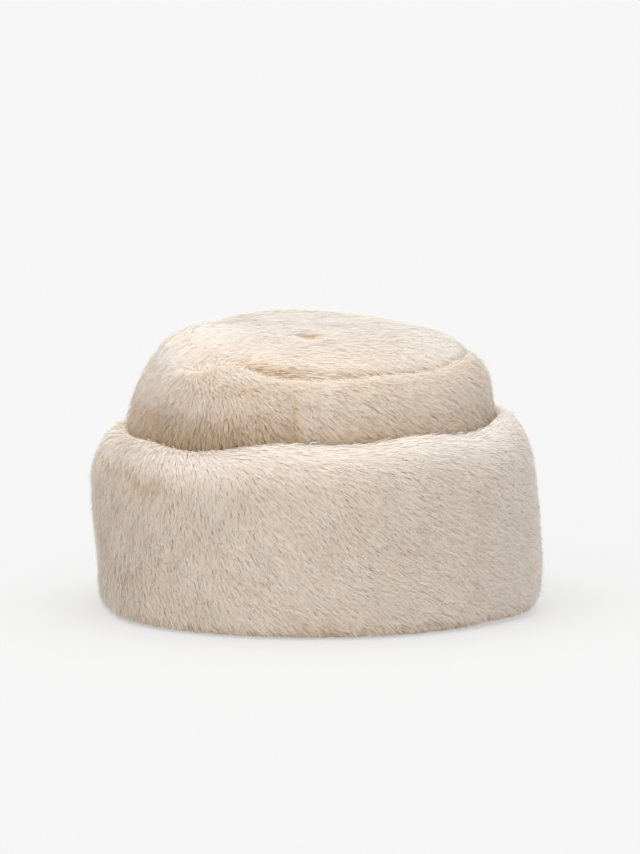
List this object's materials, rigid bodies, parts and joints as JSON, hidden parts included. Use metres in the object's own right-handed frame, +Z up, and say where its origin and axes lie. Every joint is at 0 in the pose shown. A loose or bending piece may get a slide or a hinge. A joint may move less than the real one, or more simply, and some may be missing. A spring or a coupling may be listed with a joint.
{
  "type": "cuffed fur hat",
  "caption": "Soft cream fur hat with a domed sewn crown and a deep cuff folded up around it, hollow for a head, standing on the fold of its cuff.",
  "frame": {"origin": "middle of the hat's footprint, on the surface that it stands on", "axes": "+Z up through the crown, -Y the front that carries the upright crown seam, +X the wearer's left as seen from the front"},
  "size_m": [0.2448, 0.2564, 0.1631],
  "materials": {
    "cream_fur": "combed plush fur pile in cream with tan roots, on a knitted backing, matt with a soft sheen"
  },
  "bodies": {
    "root": {"crown_tip": "cream_fur", "crown_side": "cream_fur", "cuff": "cream_fur"}
  },
  "joints": []
}
